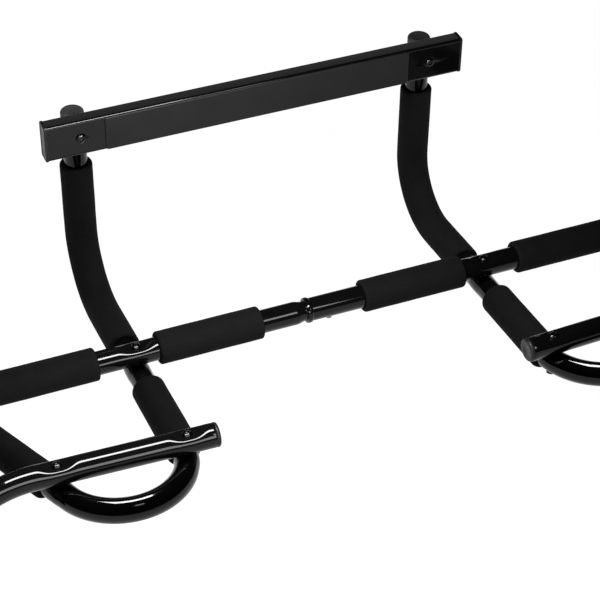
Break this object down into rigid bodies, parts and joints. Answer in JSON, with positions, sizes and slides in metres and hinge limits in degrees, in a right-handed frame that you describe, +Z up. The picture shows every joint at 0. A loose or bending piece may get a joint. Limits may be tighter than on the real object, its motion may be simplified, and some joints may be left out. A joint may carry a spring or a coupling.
{
  "type": "doorway pull-up bar",
  "caption": "Doorway pull-up bar in gloss black steel tube with foam grips, a rear rail, bent arms with loop handles, a snap-together main bar and short front bars",
  "frame": {"origin": "middle of the underside of the object's box, on the surface it stands on", "axes": "X along the main bar, +Y towards the wall and the rear rail, +Z up"},
  "size_m": [0.9516, 0.421, 0.239],
  "materials": {
    "gloss_black_paint": "gloss",
    "black_foam": "matt closed-cell foam",
    "black_rubber": "satin",
    "dark_grey_plastic": "satin",
    "dark_steel": "dark plated"
  },
  "bodies": {
    "frame": {"arm_grip_left": "black_foam", "arm_grip_right": "black_foam", "arm_top_cap_left": "dark_grey_plastic", "arm_top_cap_right": "dark_grey_plastic", "arm_tube_left": "gloss_black_paint", "arm_tube_right": "gloss_black_paint", "front_bar_grip_left": "black_foam", "front_bar_grip_right": "black_foam", "front_bar_inner_left_bolt": "dark_steel", "front_bar_inner_left_nut": "dark_steel", "front_bar_inner_plug_left": "dark_grey_plastic", "front_bar_inner_plug_right": "dark_grey_plastic", "front_bar_inner_right_bolt": "dark_steel", "front_bar_inner_right_nut": "dark_steel", "front_bar_left": "gloss_black_paint", "front_bar_outer_left_bolt": "dark_steel", "front_bar_outer_left_nut": "dark_steel", "front_bar_outer_plug_left": "dark_grey_plastic", "front_bar_outer_plug_right": "dark_grey_plastic", "front_bar_outer_right_bolt": "dark_steel", "front_bar_outer_right_nut": "dark_steel", "front_bar_right": "gloss_black_paint", "inner_leg_grip_left": "black_foam", "inner_leg_grip_right": "black_foam", "leg_end_plug_left": "dark_grey_plastic", "leg_end_plug_right": "dark_grey_plastic", "main_bar_end_cap_left": "dark_grey_plastic", "main_bar_end_cap_right": "dark_grey_plastic", "main_bar_end_sleeve_left": "black_foam", "main_bar_end_sleeve_right": "black_foam", "main_bar_inner_left_bolt": "dark_steel", "main_bar_inner_left_nut": "dark_steel", "main_bar_inner_right_bolt": "dark_steel", "main_bar_inner_right_nut": "dark_steel", "main_bar_left_tube": "gloss_black_paint", "main_bar_outer_left_bolt": "dark_steel", "main_bar_outer_left_nut": "dark_steel", "main_bar_outer_right_bolt": "dark_steel", "main_bar_outer_right_nut": "dark_steel", "main_bar_right_tube": "gloss_black_paint", "main_inner_grip_left": "black_foam", "main_inner_grip_right": "black_foam", "main_outer_grip_left": "black_foam", "main_outer_grip_right": "black_foam", "outer_leg_grip_left": "black_foam", "outer_leg_grip_right": "black_foam", "rail_end_plug_left": "dark_grey_plastic", "rail_end_plug_right": "dark_grey_plastic", "rail_left_bolt": "dark_steel", "rail_left_nut": "dark_steel", "rail_pad": "black_rubber", "rail_right_bolt": "dark_steel", "rail_right_nut": "dark_steel", "rear_rail": "gloss_black_paint", "snap_button_spring": "dark_steel"},
    "button": {"snap_button": "dark_steel"}
  },
  "joints": [
    {"name": "snap_button_press", "type": "slide", "parent": "frame", "child": "button", "axis": [0, 0.0854, 0.9963], "range_m": [0, 0.006], "stiffness_N_per_m": 1500, "springref_m": -0.002, "deforming": ["snap_button_spring"]}
  ]
}
